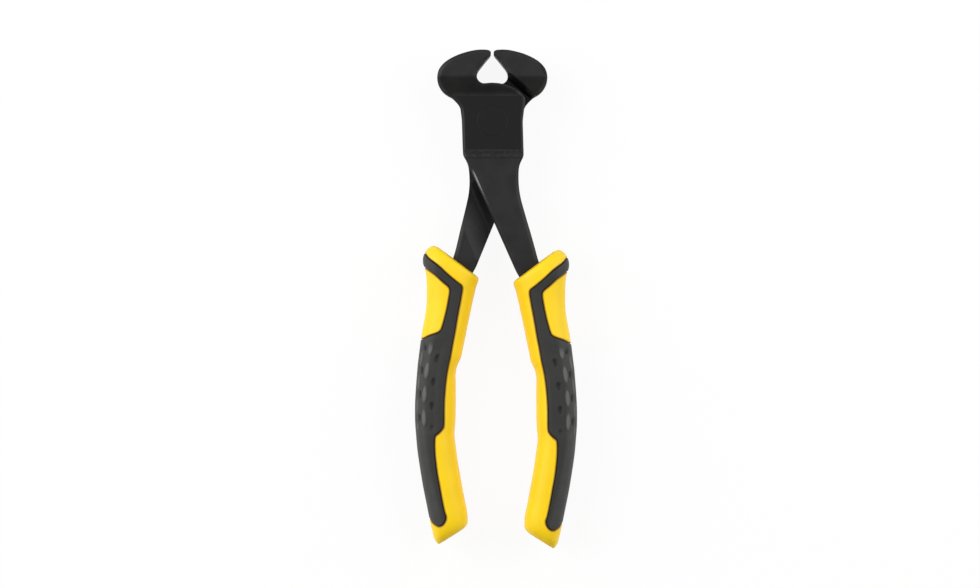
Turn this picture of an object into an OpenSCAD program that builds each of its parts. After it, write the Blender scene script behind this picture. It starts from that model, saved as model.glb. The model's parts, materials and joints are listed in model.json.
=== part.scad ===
// End cutting nippers, lying on their back: the pivot runs along Z, the jaws point to +Y and the
// front faces +Z. The two levers are one forging used twice, the second turned half a turn about Y,
// and each carries one moulded sleeve made of a hard core and a soft cover.
// Millimetres.

/* [Jaws] */
// Height of the jaws above the pivot
jaw_rise = 22.6; // [19:0.2:28]
// Reach of each jaw sideways from the centre line
jaw_reach = 17.65; // [15:0.05:22]
// Width of the cutting edges, front to back
jaw_w = 20; // [15:0.5:26]
// Gap between the cutting edges as the tool lies
edge_gap = 0.5; // [0.3:0.05:1]
// Height of the flat land of each cutting edge
edge_land = 0.5; // [0.2:0.1:1]
// Drop of the cutting edge below the jaw's top
edge_drop = 0.6; // [0.4:0.1:1.5]
// Half the width of the mouth behind the edges
mouth_half_w = 5; // [4:0.1:7]
// How far the mouth's floor lies below the rounded top of the joint plates
mouth_dip = 0.25; // [0.1:0.05:0.6]
// Length of the slope from the jaw's full width down to the joint
neck_slope = 4.9; // [3:0.1:7]
// Drop from the jaw's top to the start of that slope
neck_drop = 8.9; // [7:0.1:10]

/* [Joint] */
// Height of the rounded top of each joint plate above the pivot
plate_rise = 12.1; // [11:0.1:12.8]
// Radius of that rounded top
rim_r = 15; // [13:0.5:20]
// Width of the joint plate
plate_w = 19.5; // [16:0.1:20]
// Widening of each side of the plate towards its rim
plate_flare = 1.5; // [0.5:0.1:2]
// Thickness of the two plates together
plate_t = 11; // [9:0.5:14]
// Distance of the plate's lower step below the pivot
plate_drop = 10; // [8:0.1:12]
// Height of that step's slope along the tool
plate_step = 1.2; // [0.5:0.1:2]
// Gap between the two plates
lap_gap = 0.2; // [0.1:0.05:0.3]
// Clearance round the rim of the joint plate as the tool turns
lap_clear = 0.25; // [0.2:0.05:0.5]
// Angle of the slanting shoulder under each jaw, from the crossways line
shoulder_a = 50.4; // [46:0.2:54]
// Run of that shoulder from the joint's mid plane to the jaw's face
shoulder_run = 2; // [1:0.1:4]
// Diameter of the rivet
rivet_d = 7; // [5:0.1:9]
// Diameter of the rivet's flush heads
head_d = 9.6; // [9.2:0.1:11]
// Depth of the rivet's flush heads
head_h = 1.4; // [1:0.1:2]
// Radial clearance of the rivet in the lever that turns on it
run_clear = 0.05; // [0.02:0.01:0.08]
// Radial clearance of the rivet in the lever that holds it
seat_clear = 0.01; // [0.01:0.01:0.02]

/* [Tangs] */
// Distance below the pivot of the crotch between the tangs
crotch_drop = 32.6; // [29:0.2:36]
// Thickness of the tangs, front to back
tang_t = 8; // [6:0.5:9]
// Width of the tang inside the top of the grip
tang_w = 7.7; // [6:0.1:8.5]
// Width of the tang at its lower end
tang_tip_w = 5.6; // [4:0.1:7]
// Run of the ramp from the joint's mid plane to the tang's full thickness
ramp_run = 7; // [5:0.5:9]
// Sideways offset of both handles from the head's centre line
handle_shift = 1.2; // [0:0.1:1.5]
// How far the front handle sits lower, and the rear one higher, than their mean
handle_stagger = 0.67; // [0:0.01:1]

/* [Grips] */
// Length of the grips
grip_len = 96.2; // [85:0.1:110]
// Width across a grip, from the guard's inner end to the belly
grip_w = 20.6; // [18:0.1:24]
// Thickness of the grips, front to back
grip_t = 19; // [16:0.5:20]
// Distance of the guard's inner end from the centre line
grip_in = 5.5; // [4.5:0.1:7]
// Distance of the guard's top below the pivot
grip_drop = 40.4; // [38:0.2:44]
// Thickness of the soft cover
cover_t = 1.6; // [1.2:0.1:2]
// Thickness of the bond between cover and core
bond_t = 0.05; // [0.03:0.01:0.1]
// Width of the groove round the cover
groove_w = 0.5; // [0.3:0.1:0.8]
// Clearance of the tang in its socket
socket_clear = 0.1; // [0.05:0.05:0.2]

/* [Travel] */
// Turn of the rear lever from rest to closed, in degrees
close_a = 1.2; // [0.5:0.1:1.2]

/* [Hidden] */
$fn = 64;

// Overrun of every cut
over = 1;
FRONT = 1;
REAR = -1;
// Faces round each section of a grip, and steps between two points of a curve
ring_n = 28;
curve_n = 3;
// Squareness of a grip's section: 2 is an ellipse
grip_power = 2.7;

tool_len = jaw_rise + grip_drop + grip_len + handle_stagger;
pivot_x = -handle_shift;
pivot_y = tool_len / 2 - jaw_rise;
bench_z = max(jaw_w, grip_t) / 2;
plate_half = plate_w / 2;
mouth_y = plate_rise - mouth_dip;
edge_y = jaw_rise - edge_drop;
// Corner where a plate's side meets its rounded top, and its distance from the pivot
rim_y = plate_rise - rim_r;
side_slope = plate_flare / plate_rise;
corner_b = plate_half * side_slope - rim_y;
corner_a = 1 + pow(side_slope, 2);
corner_y = (-corner_b + sqrt(pow(corner_b, 2)
    - corner_a * (pow(plate_half, 2) + pow(rim_y, 2) - pow(rim_r, 2)))) / corner_a;
corner_r = norm([plate_half + side_slope * corner_y, corner_y]);

// Outer side of a jaw above its widest point, of [jaw_reach, jaw_rise]
jaw_crown_shares = [[0.05, 0.991], [0.13, 1], [0.29, 0.997], [0.488, 0.963], [0.624, 0.927],
                    [0.778, 0.868], [0.893, 0.8], [0.973, 0.714], [1, 0.62]];
// Outer side below it, from the plate's side out to jaw_reach, and of jaw_rise
jaw_cheek_shares = [[0.985, 0.54], [0.92, 0.487], [0.83, 0.434], [0.67, 0.377], [0.4, 0.321],
                    [0.235, 0.264], [0.1, 0.208], [0.035, 0.14], [0.01, 0.07], [0, 0]];
// Side of the mouth, of mouth_half_w and of the height from its floor to the edge
mouth_shares = [[0.175, 0.9], [0.42, 0.763], [0.622, 0.628], [0.775, 0.526], [0.922, 0.426],
                [1, 0.29], [0.965, 0.155], [0.875, 0.076], [0.73, 0.026], [0.56, 0]];
// Outer edge of a tang from the plate's lower corner (0, 0) to the grip's mouth (1, 1)
neck_shares = [[0, 0], [-0.19, 0.04], [-0.35, 0.09], [-0.42, 0.152], [-0.43, 0.264],
               [-0.327, 0.376], [-0.113, 0.487], [0.125, 0.601], [0.37, 0.712], [0.6, 0.826],
               [1, 1]];
// Where the tang's two edges enter the grip, of [grip_w, grip_len]
tang_in_share = [0.05, 0.077];
tang_out_share = [0.415, 0.053];
// Middle line of the tang inside the grip, of [grip_w, grip_len]
tang_mid_shares = [[0.429, 0.153], [0.541, 0.257], [0.62, 0.372], [0.663, 0.497],
                   [0.663, 0.623], [0.62, 0.727]];
// Sections of a grip from its guard to its end: outer point and inner point of
// [grip_w, grip_len], and thickness of grip_t
grip_shares = [
    [0.649, 0.005, 0.059, 0.099, 0.72],
    [0.737, 0.003, 0.005, 0.111, 0.84],
    [0.820, 0.017, 0.005, 0.120, 0.90],
    [0.868, 0.038, 0.029, 0.134, 0.92],
    [0.873, 0.061, 0.049, 0.148, 0.92],
    [0.839, 0.083, 0.063, 0.163, 0.90],
    [0.820, 0.111, 0.083, 0.180, 0.88],
    [0.815, 0.153, 0.107, 0.205, 0.87],
    [0.820, 0.200, 0.141, 0.239, 0.87],
    [0.849, 0.245, 0.176, 0.274, 0.88],
    [0.883, 0.283, 0.210, 0.311, 0.90],
    [0.912, 0.324, 0.244, 0.345, 0.92],
    [0.937, 0.367, 0.273, 0.375, 0.94],
    [0.956, 0.399, 0.327, 0.400, 0.955],
    [0.968, 0.429, 0.356, 0.427, 0.97],
    [0.985, 0.476, 0.356, 0.476, 0.99],
    [0.998, 0.529, 0.356, 0.529, 1],
    [0.998, 0.586, 0.361, 0.586, 1],
    [0.983, 0.633, 0.376, 0.633, 0.99],
    [0.961, 0.685, 0.351, 0.680, 0.975],
    [0.922, 0.743, 0.317, 0.732, 0.95],
    [0.873, 0.806, 0.268, 0.790, 0.92],
    [0.820, 0.863, 0.224, 0.842, 0.88],
    [0.771, 0.915, 0.180, 0.889, 0.84],
    [0.732, 0.952, 0.171, 0.918, 0.79],
    [0.698, 0.980, 0.185, 0.934, 0.70],
    [0.639, 1.000, 0.239, 0.947, 0.52]];
// Edge of the soft cover, of [grip_w, grip_len]: the stripe's upper edge, the inner edge of the
// panel, the round tail, then back up outside the grip, and the stripe's lower edge
cover_shares = [
    [1.05, -0.008], [0.771, 0.042], [0.551, 0.082], [0.395, 0.109], [0.298, 0.125],
    [0.249, 0.137], [0.249, 0.151], [0.278, 0.188], [0.322, 0.236], [0.366, 0.288],
    [0.405, 0.330], [0.439, 0.372], [0.488, 0.424], [0.517, 0.471], [0.537, 0.529],
    [0.541, 0.597], [0.561, 0.612], [0.620, 0.626], [0.673, 0.636], [0.688, 0.654],
    [0.683, 0.696], [0.654, 0.753], [0.615, 0.800], [0.576, 0.847], [0.537, 0.887],
    [0.512, 0.913], [0.527, 0.928], [0.566, 0.939], [0.620, 0.945], [0.673, 0.941],
    [0.732, 0.932], [0.785, 0.917], [1.1, 0.874], [1.1, 0.330], [0.912, 0.316],
    [0.780, 0.303], [0.668, 0.295], [0.605, 0.288], [0.580, 0.278], [0.546, 0.247],
    [0.512, 0.210], [0.483, 0.173], [0.468, 0.150], [0.507, 0.136], [0.566, 0.122],
    [0.644, 0.109], [0.785, 0.082], [0.854, 0.068], [1.05, 0.029]];

// Catmull-Rom curve through points p, which keeps its two ends
function knot(p, i) = p[min(max(i, 0), len(p) - 1)];
function between(a, b, c, d, t) =
    (2 * b + (c - a) * t + (2 * a - 5 * b + 4 * c - d) * t * t
     + (3 * b - a - 3 * c + d) * t * t * t) / 2;
function curve(p) = [
    for (i = [0 : len(p) - 2])
        for (k = [0 : curve_n - 1])
            between(knot(p, i - 1), knot(p, i), knot(p, i + 1), knot(p, i + 2), k / curve_n),
    p[len(p) - 1]];
function reversed(p) = [for (i = [len(p) - 1 : -1 : 0]) p[i]];

// Handle points are [u, v]: u outwards from the centre line and v down from the pivot
function grip_pt(share) = [grip_in + share.x * grip_w, grip_drop + share.y * grip_len];
function handle_set(p, side) =
    let (b = min(1, p.y / grip_drop))
    [p.x + side * handle_shift * b, p.y + side * handle_stagger * b];
function drawn(p, side) = [for (q = p) let (h = handle_set(q, side)) [h.x, -h.y]];

// Inner edge of a tang: one straight line from the grip's mouth through the crotch
tang_in = grip_pt(tang_in_share);
tang_out = grip_pt(tang_out_share);
splay_a = atan((tang_in.x) / (tang_in.y - crotch_drop));
corner_drop = crotch_drop - plate_half / tan(splay_a);
inner_line_r = crotch_drop * sin(splay_a);
// Where the ramp starts: clear of the other lever's inner edge when the tool is closed
close_sweep = crotch_drop * close_a * PI / 180;
ramp_start = inner_line_r + handle_shift + close_sweep + lap_clear;

function mid_pt(i) = grip_pt(tang_mid_shares[i]);
function mid_half(i) =
    let (t = i / (len(tang_mid_shares) - 1))
    (tang_w * (1 - t) + tang_tip_w * t) / 2;
function tang_side(sign, grow) = [
    for (i = [0 : len(tang_mid_shares) - 1])
        mid_pt(i) + [sign * (mid_half(i) + grow), i == len(tang_mid_shares) - 1 ? grow : 0]];
function tang_inner(grow) = curve(concat([tang_in - [grow, 0]], tang_side(-1, grow)));
function neck_pt(share) =
    let (from = [plate_half, plate_drop + plate_step])
    [from.x + share.x * (tang_out.x - from.x), from.y + share.y * (tang_out.y - from.y)];
function tang_outer(grow) =
    curve(concat([for (s = neck_shares) neck_pt(s) + [grow, 0]], tang_side(1, grow)));

// Jaw of the front lever, which lies to the left
function crown() = curve([for (s = jaw_crown_shares) [-s.x * jaw_reach, s.y * jaw_rise]]);
function cheek() = curve([for (s = jaw_cheek_shares)
    [-(plate_half + s.x * (jaw_reach - plate_half)), s.y * jaw_rise]]);
function mouth() = curve([for (s = mouth_shares)
    [-s.x * mouth_half_w, mouth_y + s.y * (edge_y - edge_land - mouth_y)]]);
function edge() = [[-edge_gap / 2, edge_y - edge_land], [-edge_gap / 2, edge_y]];

module at_pivot() {
    translate([pivot_x, pivot_y, bench_z]) children();
}

// The rear lever and its grip are the front ones turned half a turn about Y
module on_side(side) {
    rotate([0, side == FRONT ? 0 : 180, 0]) children();
}

module lever_outline(side) {
    // Jaw and upper half of the plate
    polygon(concat(edge(), crown(), cheek(), [[0, 0]], reversed(mouth())));
    // Lower half of the plate and the tang
    polygon(concat(
        [[-plate_half, 0]],
        drawn(concat([[-plate_half, corner_drop]], tang_inner(0), reversed(tang_outer(0))), side),
        [[plate_half, 0]]));
}

module plate_rim() {
    intersection() {
        translate([0, rim_y]) circle(r = rim_r);
        polygon([[-plate_half, -over], [plate_half, -over], [plate_half, 0],
                 [plate_half + plate_flare, plate_rise], [plate_half + plate_flare, plate_rise + over],
                 [-plate_half, plate_rise + over]]);
    }
}

// Half thickness of a lever along the tool, as seen from the side
module lever_profile() {
    top = jaw_rise + over;
    slope_top = jaw_rise - neck_drop;
    foot = -(grip_drop + grip_len);
    right = [[top, jaw_w / 2], [slope_top, jaw_w / 2], [slope_top - neck_slope, plate_t / 2],
             [-plate_drop, plate_t / 2], [-plate_drop - plate_step, tang_t / 2],
             [foot, tang_t / 2]];
    polygon(concat(right, reversed([for (p = right) [p.x, -p.y]])));
}

module lever_blank(side) {
    intersection() {
        linear_extrude(height = jaw_w + over, center = true) {
            lever_outline(side);
            plate_rim();
        }
        rotate([90, 0, 90])
            linear_extrude(height = 4 * jaw_reach, center = true) lever_profile();
    }
}

// Wedge below the mid plane: from start its end slopes away by run over depth
module wedge(angle, start, run, depth) {
    far = 2 * tool_len;
    top = lap_gap / 2;
    rotate([0, 0, angle])
        rotate([90, 0, 0])
            linear_extrude(height = far, center = true)
                polygon([[-far, top], [start, top], [start + run * jaw_w / depth, top - jaw_w],
                         [-far, top - jaw_w]]);
}

// Room for the other lever behind this one
module lap_room() {
    intersection() {
        wedge(180 - shoulder_a, corner_r + lap_clear, shoulder_run, jaw_w / 2);
        wedge(-splay_a, ramp_start, ramp_run, tang_t / 2);
    }
}

// Rivet shape along Z, grown by a radial clearance
module rivet_shape(grow) {
    half = plate_t / 2;
    rotate_extrude()
        polygon([[0, -half], [head_d / 2 + grow, -half], [rivet_d / 2 + grow, -half + head_h],
                 [rivet_d / 2 + grow, half - head_h], [head_d / 2 + grow, half], [0, half]]);
}

module lever(side, clear) {
    at_pivot() on_side(side) difference() {
        lever_blank(side);
        lap_room();
        rivet_shape(clear);
    }
}

// One section of a grip: a squared ellipse across the line from the inner to the outer point
function power_of(x) = sign(x) * pow(abs(x), 2 / grip_power);
function grip_ring(i, inset) =
    let (row = grip_shares[i],
         outer = grip_pt([row[0], row[1]]),
         inner = grip_pt([row[2], row[3]]),
         mid = (outer + inner) / 2,
         along = (outer - inner) / norm(outer - inner),
         a = norm(outer - inner) / 2 - inset,
         b = row[4] * grip_t / 2 - inset)
    [for (k = [0 : ring_n - 1])
        let (t = 360 * k / ring_n,
             p = mid + along * a * power_of(cos(t)))
        [p.x, -p.y, b * power_of(sin(t))]];

// Solid through sections first to last, all of ring_n points
module loft(first, last, inset) {
    n = last - first + 1;
    rings = [for (i = [first : last]) each grip_ring(i, inset)];
    sides = [for (i = [0 : n - 2])
        for (k = [0 : ring_n - 1])
            let (j = (k + 1) % ring_n,
                 a = i * ring_n + k,
                 b = i * ring_n + j)
            each [[a, b + ring_n, b], [a, a + ring_n, b + ring_n]]];
    ends = [for (k = [1 : ring_n - 2])
        let (z = (n - 1) * ring_n)
        each [[0, k, k + 1], [z, z + k + 1, z + k]]];
    polyhedron(points = rings, faces = concat(sides, ends));
}

module grip_body() {
    loft(0, len(grip_shares) - 1, 0);
}

module grip_inside(inset) {
    loft(1, len(grip_shares) - 2, inset);
}

module cover_region(grow) {
    linear_extrude(height = grip_t + over, center = true)
        offset(delta = grow)
            polygon([for (s = cover_shares) let (p = grip_pt(s)) [p.x, -p.y]]);
}

// Sleeves are drawn where the mean handle lies; this sets them on their own lever
module handle_place(side) {
    at_pivot() on_side(side)
        translate([side * handle_shift, -side * handle_stagger, 0]) children();
}

module tang_socket() {
    lead = grip_drop - over;
    inner_lead = [tang_in.x - tan(splay_a) * (tang_in.y - lead) - socket_clear, lead];
    outer_lead = [tang_out.x + socket_clear, lead];
    points = concat([inner_lead], tang_inner(socket_clear),
                    reversed(concat([tang_out + [socket_clear, 0]], tang_side(1, socket_clear))),
                    [outer_lead]);
    linear_extrude(height = tang_t + 2 * socket_clear, center = true)
        polygon([for (p = points) [p.x, -p.y]]);
}

module grip_core(side) {
    handle_place(side) difference() {
        grip_body();
        difference() {
            cover_region(groove_w);
            grip_inside(cover_t + bond_t);
        }
        tang_socket();
    }
}

module grip_cover(side) {
    handle_place(side) difference() {
        intersection() {
            grip_body();
            cover_region(0);
        }
        grip_inside(cover_t);
    }
}

module front_lever() {
    color("#37373b") lever(FRONT, seat_clear);
}

module rear_lever() {
    color("#2e2e32") lever(REAR, run_clear);
}

module pivot_rivet() {
    color("#45454a") at_pivot() rivet_shape(0);
}

module front_grip_core() {
    color("#f8cb21") grip_core(FRONT);
}

module front_grip_cover() {
    color("#4e4e4e") grip_cover(FRONT);
}

module rear_grip_core() {
    color("#f8cb21") grip_core(REAR);
}

module rear_grip_cover() {
    color("#4e4e4e") grip_cover(REAR);
}

front_lever();
rear_lever();
pivot_rivet();
front_grip_core();
front_grip_cover();
rear_grip_core();
rear_grip_cover();
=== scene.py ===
"""Looks of a pair of end cutting nippers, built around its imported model.

The nippers lie on their back: the pivot runs along Z, the jaws point to +Y and the front faces +Z.
Each lever is a blackened forging and carries a sleeve of a hard core and a soft cover.
"""

import json
import math

import bmesh
import bpy
import numpy as np
from mathutils import Matrix, Vector
from mathutils.bvhtree import BVHTree


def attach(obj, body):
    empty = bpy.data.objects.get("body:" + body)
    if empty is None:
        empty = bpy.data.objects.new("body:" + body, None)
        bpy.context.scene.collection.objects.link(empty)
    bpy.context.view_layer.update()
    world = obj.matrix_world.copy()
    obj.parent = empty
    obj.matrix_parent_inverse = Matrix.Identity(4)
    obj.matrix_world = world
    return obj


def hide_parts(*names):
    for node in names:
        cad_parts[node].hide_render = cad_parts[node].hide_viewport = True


bl_info = {
    "name": "End Cutting Nippers",
    "version": (1, 0, 0),
    "blender": (4, 5, 0),
    "location": "3D View > Sidebar > Nippers",
    "description": "Forged levers, rivet, two-material sleeves and a plain studio",
    "category": "Object",
}

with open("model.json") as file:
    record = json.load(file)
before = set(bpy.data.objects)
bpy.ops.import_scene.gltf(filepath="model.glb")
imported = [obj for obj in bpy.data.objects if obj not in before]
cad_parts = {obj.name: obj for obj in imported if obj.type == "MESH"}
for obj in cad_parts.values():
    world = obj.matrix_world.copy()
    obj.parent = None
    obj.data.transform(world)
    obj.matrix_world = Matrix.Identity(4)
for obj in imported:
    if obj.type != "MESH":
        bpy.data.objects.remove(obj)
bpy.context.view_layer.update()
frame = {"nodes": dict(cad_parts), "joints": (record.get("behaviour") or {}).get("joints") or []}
PIVOT = Vector(frame["joints"][0]["pos_m"])

MM = 0.001
WELD = 0.001 * MM
TAU = 2 * math.pi
X, Y, Z = (Vector(way) for way in ((1, 0, 0), (0, 1, 0), (0, 0, 1)))

# The rear half of the tool is the front half after half a turn about the tool's length
HALF_TURN = Matrix.Rotation(math.pi, 3, "Y")
SIDES = {"front": 1, "rear": -1}

# Sections of a sleeve from its guard to its end: outer point and inner point, each as shares of
# the sleeve's width and length, and the thickness as a share of the greatest one
SECTION_SHARES = (
    (0.649, 0.005, 0.059, 0.099, 0.72),
    (0.737, 0.003, 0.005, 0.111, 0.84),
    (0.820, 0.017, 0.005, 0.120, 0.90),
    (0.868, 0.038, 0.029, 0.134, 0.92),
    (0.873, 0.061, 0.049, 0.148, 0.92),
    (0.839, 0.083, 0.063, 0.163, 0.90),
    (0.820, 0.111, 0.083, 0.180, 0.88),
    (0.815, 0.153, 0.107, 0.205, 0.87),
    (0.820, 0.200, 0.141, 0.239, 0.87),
    (0.849, 0.245, 0.176, 0.274, 0.88),
    (0.883, 0.283, 0.210, 0.311, 0.90),
    (0.912, 0.324, 0.244, 0.345, 0.92),
    (0.937, 0.367, 0.273, 0.375, 0.94),
    (0.956, 0.399, 0.327, 0.400, 0.955),
    (0.968, 0.429, 0.356, 0.427, 0.97),
    (0.985, 0.476, 0.356, 0.476, 0.99),
    (0.998, 0.529, 0.356, 0.529, 1.0),
    (0.998, 0.586, 0.361, 0.586, 1.0),
    (0.983, 0.633, 0.376, 0.633, 0.99),
    (0.961, 0.685, 0.351, 0.680, 0.975),
    (0.922, 0.743, 0.317, 0.732, 0.95),
    (0.873, 0.806, 0.268, 0.790, 0.92),
    (0.820, 0.863, 0.224, 0.842, 0.88),
    (0.771, 0.915, 0.180, 0.889, 0.84),
    (0.732, 0.952, 0.171, 0.918, 0.79),
    (0.698, 0.980, 0.185, 0.934, 0.70),
    (0.639, 1.000, 0.239, 0.947, 0.52),
)

# Edge of the soft cover, in the same shares: the stripe's upper edge, the inner edge of the panel,
# the round tail, then back up outside the sleeve, and the stripe's lower edge
COVER_SHARES = (
    (1.05, -0.036), (0.845, 0.0275), (0.775, 0.0465), (0.624, 0.071), (0.492, 0.0975),
    (0.345, 0.124), (0.272, 0.136), (0.256, 0.148), (0.285, 0.188), (0.328, 0.236), (0.368, 0.288),
    (0.405, 0.330), (0.439, 0.372), (0.488, 0.424), (0.517, 0.471), (0.537, 0.529),
    (0.541, 0.597), (0.561, 0.612), (0.620, 0.626), (0.673, 0.636), (0.688, 0.654),
    (0.683, 0.696), (0.654, 0.753), (0.615, 0.800), (0.576, 0.847), (0.537, 0.887),
    (0.510, 0.906), (0.525, 0.921), (0.564, 0.932), (0.618, 0.937), (0.671, 0.933),
    (0.730, 0.924), (0.785, 0.911), (1.1, 0.871), (1.1, 0.330), (0.912, 0.316),
    (0.780, 0.303), (0.668, 0.295), (0.605, 0.288), (0.575, 0.278), (0.531, 0.247),
    (0.490, 0.210), (0.458, 0.173), (0.447, 0.153), (0.468, 0.140), (0.566, 0.122),
    (0.680, 0.1005), (0.785, 0.085), (0.845, 0.076), (1.05, 0.045),
)

# Width and drop in millimetres of a lever's edge chamfer at places round its outline, with the
# pivot at (0, 0), the jaw to the left and the tang to the right
CHAMFER_KNOTS = (
    (-0.2, 21.6, 0.12, 0.05), (-2.1, 22.6, 0.6, 0.25), (-9.0, 21.8, 0.9, 0.5),
    (-17.0, 16.0, 1.0, 0.7), (-15.8, 10.5, 1.0, 0.6), (-11.3, 6.0, 0.9, 0.5),
    (-9.4, 1.5, 0.75, 0.6), (-9.4, -8.5, 0.75, 0.6), (-8.6, -13.5, 0.85, 0.7),
    (-6.4, -18.0, 0.95, 0.8), (0.0, -32.0, 0.95, 0.7), (6.5, -47.0, 0.8, 0.5),
    (13.6, -45.0, 1.1, 0.5), (8.4, -22.0, 1.0, 0.6), (8.6, -16.0, 0.8, 0.5),
    (9.6, -10.0, 0.6, 0.4), (9.4, 1.0, 0.6, 0.4), (9.0, 7.5, 0.7, 0.5),
    (0.5, 11.9, 0.9, 0.5), (-2.7, 12.2, 0.9, 0.5), (-5.4, 15.0, 1.2, 0.4),
    (-2.5, 19.7, 1.2, 0.35), (-0.3, 21.0, 0.12, 0.05),
)

# Lines that follow a lever's outline on its face, as shares of the chamfer's width there
CHAMFER_LINES = (0.06, 0.16, 0.5, 0.75, 0.92, 1.08, 1.25)

# Heights above the pivot in millimetres, each with a share: of painted highlight along the inner
# chamfer of the tang, of painted highlight across the step below the joint plate, and of ground
# finish and painted shade on the flat of the lap
CREST_HIGHLIGHT = ((-34, 0.05), (-28, 0.3), (-24, 0.4), (-21.8, 0.6), (-19.4, 1), (-17.2, 0.9),
              (-14.6, 0))
STEP_HIGHLIGHT = ((-12, 0), (-11.5, 0.34), (-10.7, 0.34), (-9.2, 0.26), (-8.9, 0))
LAP_GROUND_AND_SHADE = ((-25, 1), (-20, 0.3))

# Shares of the ramp's run, each with the share of matt finish there, which also sets the ramp's
# painted shade
RAMP_MATT_AND_SHADE = ((0.35, 1), (0.95, 0))

# How far a machined flat may lie from its level, and the least cosine of the angle between
# a machined face and its flat or its plane
FLAT_GAP = 0.01 * MM
FLAT_COSINE = 0.99
PLANE_COSINE = 0.97

# Top of the joint plate, where more shiny steel is painted as an edge highlight, in millimetres
# from the pivot: least distance, left end, foot, top
PLATE_TOP = (9.6, -4, 3, 12.3)

# Least height in millimetres of a lever's full face over the lap, where wear and painted highlights
# show
FULL_FACE = 1

# Real wear and painted highlight of an edge: where it ends, as a ratio of the chamfer's width, its
# share all round, and what the plate's top adds to that
EDGE_WEAR_AND_HIGHLIGHT = (1.25, 0.1, 0.2)

# Painted highlight across the tang's inner chamfer: the ratio of the width where it is greatest,
# its level there before it is clipped to 1, and its fall per width
CREST_BAND = (0.6, 1.5, 3.6)

# Middle of the tang in millimetres: its place sideways at a height, and its run per length
TANG_MIDDLE = (-1, -18, 0.456)
TANG_TOP = -11

# Edges over these angles stay sharp
STEEL_SHARP = math.radians(38)
CORE_SHARP = math.radians(40)
COVER_SHARP = math.radians(60)

# Sections that close both ends of a sleeve, as shares of its end's size, and where the sections
# of its rounded rims lie, as shares of the rounding
CLOSING = (0, 0.12, 0.3, 0.5, 0.7, 0.86, 0.96)
RIM_LINES = (0.05, 0.2, 0.45, 0.75)

# Columns of the relief, counted from the sleeve's outermost line: pads on the odd ones and pits on
# the even ones, which lie further apart
COLUMNS = range(3, 7)
PIT_SPREAD = 1.4
PIT_SHIFT = -1.9

# Half width in columns, half length in half pitches, and steepness of a pad and of a pit
PAD_SHAPE = (0.52, 0.86, 2.2)
PIT_SHAPE = (0.48, 0.42, 2.0)

# Where the relief starts to rise, and over which run: from the cover's edge, and in columns from
# each side
RELIEF_EDGE = (0.5 * MM, 2.5 * MM)
FIRST_COLUMN = (2.2, 1.2)
LAST_COLUMN = (7.9, 1.0)

# Directions of the two soft lamps, seen from the tool
LAMP_WAYS = {"left": (-0.74, 0.28, 0.64), "right": (0.74, 0.32, 0.64)}


# Sizes and colours that a user would change

def length(name, text, default):
    """A size in metres that shows in the scene's unit."""
    return bpy.props.FloatProperty(
        name=name, description=text, default=default, unit="LENGTH", precision=5)


def angle(name, text, degrees):
    """An angle, from its default in degrees."""
    return bpy.props.FloatProperty(
        name=name, description=text, default=math.radians(degrees), unit="ROTATION")


def watts(name, text, default):
    """A lamp's power in watts."""
    return bpy.props.FloatProperty(name=name, description=text, default=default, unit="POWER")


def share(name, text, default):
    """A share from nought to one."""
    return bpy.props.FloatProperty(
        name=name, description=text, default=default, min=0, max=1, subtype="FACTOR")


def colour(name, text, default):
    """A plain colour."""
    return bpy.props.FloatVectorProperty(
        name=name, description=text, default=default, min=0, max=1, size=3, subtype="COLOR")


class SteelSettings(bpy.types.PropertyGroup):
    """Sizes and finish of the two forged levers and their rivet"""

    jaw_width: length("Jaw width", "Width of the cutting edges, front to back", 20 * MM)
    slope_top: length("Slope top", "Height above the pivot where the jaw's slope starts",
                      13.7 * MM)
    slope_run: length("Slope run", "Length of that slope along the tool", 4.9 * MM)
    plate_thick: length("Joint thickness", "Thickness of the two joint plates together", 11 * MM)
    plate_foot: length("Plate foot", "Distance of the plate's lower step below the pivot", 10 * MM)
    step_run: length("Step run", "Length of that step along the tool", 1.2 * MM)
    tang_thick: length("Tang thickness", "Thickness of the tangs, front to back", 8 * MM)
    blend_r: length("Blend", "Half the length over which two faces blend", 0.8 * MM)
    lap_gap: length("Lap gap", "Gap between the two joint plates", 0.2 * MM)
    shoulder_start: length("Shoulder start", "Distance of the shoulder's foot from the pivot",
                           13.38 * MM)
    shoulder_a: angle("Shoulder angle", "Angle of the shoulder from the crossways line", 50.4)
    shoulder_run: length("Shoulder run", "Run of the shoulder from the joint to the jaw's face",
                         2 * MM)
    splay_a: angle("Tang angle", "Angle of the tang's inner edge from the centre line", 23.24)
    ramp_start: length("Ramp start", "Distance of the tang's ramp from the pivot", 15.0 * MM)
    ramp_run: length("Ramp run", "Run of the ramp down to the tang's full thickness", 7 * MM)
    rivet_d: length("Rivet", "Diameter of the rivet's shank", 7 * MM)
    head_d: length("Rivet head", "Diameter of the rivet's flush heads", 9.6 * MM)
    head_h: length("Head depth", "Depth of the rivet's flush heads", 1.4 * MM)
    rivet_clear: length("Rivet clearance", "Radial clearance of the rivet", 0.012 * MM)
    cell: length("Cell", "Spacing of the mesh on the faces of a lever", 0.6 * MM)
    outline_cell: length("Outline cell", "Spacing of the mesh along a lever's outline", 0.3 * MM)
    corner_a: angle("Corner", "Corners of the outline over this angle stay sharp", 19)
    black: colour("Black", "Colour of the blackened steel", (0.0138, 0.0138, 0.0144))
    # Also paints highlights as shiny steel on the tang's inner chamfer, the step and the plate's
    # top
    bare_and_highlight: colour("Bare steel", "Colour of the steel where the black is worn off", (0.4, 0.4, 0.4))


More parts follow.
